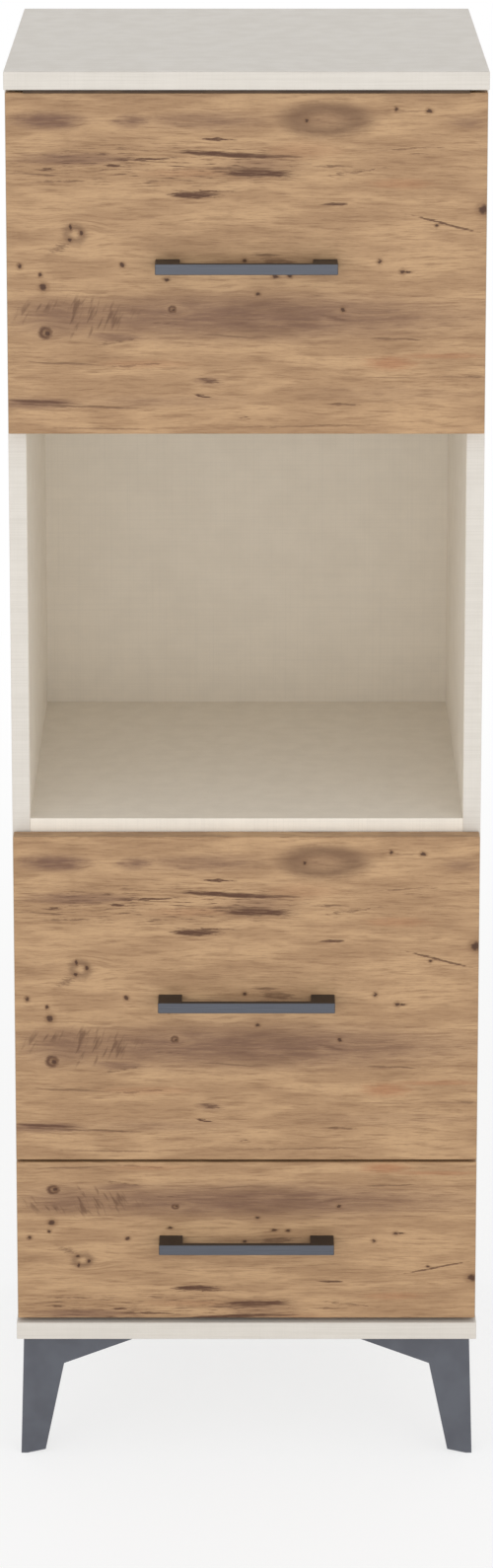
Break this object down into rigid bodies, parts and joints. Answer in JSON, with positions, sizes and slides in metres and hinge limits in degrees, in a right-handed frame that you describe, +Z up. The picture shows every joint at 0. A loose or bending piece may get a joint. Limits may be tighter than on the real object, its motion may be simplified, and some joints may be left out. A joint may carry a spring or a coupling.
{
  "type": "microwave cabinet",
  "caption": "Tall free-standing kitchen cabinet with a lift-up flap, an open microwave niche, drawers on telescopic rails, bar handles and splayed corner legs.",
  "frame": {"origin": "on the floor, in the middle of the overall width and depth (handles included)", "axes": "+X to the right as seen from the front, +Y from the front to the back, +Z up"},
  "size_m": [0.5, 0.472, 1.53],
  "materials": {
    "cream_board": "fine-textured cream melamine",
    "pine_front": "knotty pine-effect melamine, satin",
    "drawer_board": "plain pale melamine",
    "handle_metal": "satin anthracite paint",
    "leg_metal": "satin anthracite powder coat",
    "zinc_steel": "bright zinc plate",
    "zinc_casting": "matt die-cast zinc",
    "bumper_rubber": "soft translucent",
    "strut_paint": "semi-gloss black",
    "rod_chrome": "polished"
  },
  "bodies": {
    "carcass": {"side_panel_right": "cream_board", "side_panel_left": "cream_board", "top_panel": "cream_board", "bottom_panel": "cream_board", "niche_shelf": "cream_board", "upper_shelf": "cream_board", "back_panel": "cream_board", "cam_locks": "zinc_casting", "leg_front_right": "leg_metal", "leg_front_left": "leg_metal", "leg_rear_right": "leg_metal", "leg_rear_left": "leg_metal", "front_bumpers": "bumper_rubber", "hinge_leaf_cabinet": "zinc_steel", "hinge_pin": "zinc_steel", "strut_brackets_cabinet": "zinc_steel", "shallow_drawer_cabinet_rails": "zinc_steel", "deep_drawer_cabinet_rails": "zinc_steel"},
    "flap": {"flap_panel": "pine_front", "flap_handle": "handle_metal", "flap_handle_screws": "zinc_steel", "hinge_leaf_flap": "zinc_steel", "strut_brackets_flap": "zinc_steel"},
    "strut_tubes": {"strut_tube_right": "strut_paint", "strut_tube_left": "strut_paint"},
    "strut_rods": {"strut_rod_right": "rod_chrome", "strut_rod_left": "rod_chrome"},
    "deep_drawer": {"deep_drawer_front": "pine_front", "deep_drawer_handle": "handle_metal", "deep_drawer_handle_screws": "zinc_steel", "deep_drawer_side_right": "drawer_board", "deep_drawer_side_left": "drawer_board", "deep_drawer_inner_front": "drawer_board", "deep_drawer_back": "drawer_board", "deep_drawer_base": "drawer_board", "deep_drawer_box_rails": "zinc_steel"},
    "deep_middle_rails": {"deep_drawer_middle_rails": "zinc_steel"},
    "shallow_drawer": {"shallow_drawer_front": "pine_front", "shallow_drawer_handle": "handle_metal", "shallow_drawer_handle_screws": "zinc_steel", "shallow_drawer_side_right": "drawer_board", "shallow_drawer_side_left": "drawer_board", "shallow_drawer_inner_front": "drawer_board", "shallow_drawer_back": "drawer_board", "shallow_drawer_base": "drawer_board", "shallow_drawer_box_rails": "zinc_steel"},
    "shallow_middle_rails": {"shallow_drawer_middle_rails": "zinc_steel"}
  },
  "joints": [
    {"name": "flap_hinge", "type": "hinge", "parent": "carcass", "child": "flap", "pos_m": [0, -0.2119, 1.5091], "axis": [-1, 0, 0], "range_deg": [0, 90]},
    {"name": "strut_swing", "type": "hinge", "parent": "carcass", "child": "strut_tubes", "pos_m": [0, -0.154, 1.48], "axis": [-1, 0, 0], "range_deg": [0, 81.64]},
    {"name": "strut_extend", "type": "slide", "parent": "strut_tubes", "child": "strut_rods", "axis": [0, -0.0767, -0.9971], "range_m": [0, 0.08712]},
    {"name": "deep_drawer_slide", "type": "slide", "parent": "carcass", "child": "deep_drawer", "axis": [0, -1, 0], "range_m": [0, 0.4]},
    {"name": "deep_rails_slide", "type": "slide", "parent": "carcass", "child": "deep_middle_rails", "axis": [0, -1, 0], "range_m": [0, 0.2]},
    {"name": "shallow_drawer_slide", "type": "slide", "parent": "carcass", "child": "shallow_drawer", "axis": [0, -1, 0], "range_m": [0, 0.4]},
    {"name": "shallow_rails_slide", "type": "slide", "parent": "carcass", "child": "shallow_middle_rails", "axis": [0, -1, 0], "range_m": [0, 0.2]}
  ],
  "couplings": [
    {"joint": "strut_swing", "follows": "flap_hinge", "ratio": 0.90713},
    {"joint": "strut_extend", "follows": "flap_hinge", "m_per_rad": 0.055462},
    {"joint": "deep_rails_slide", "follows": "deep_drawer_slide", "ratio": 0.5},
    {"joint": "shallow_rails_slide", "follows": "shallow_drawer_slide", "ratio": 0.5}
  ]
}
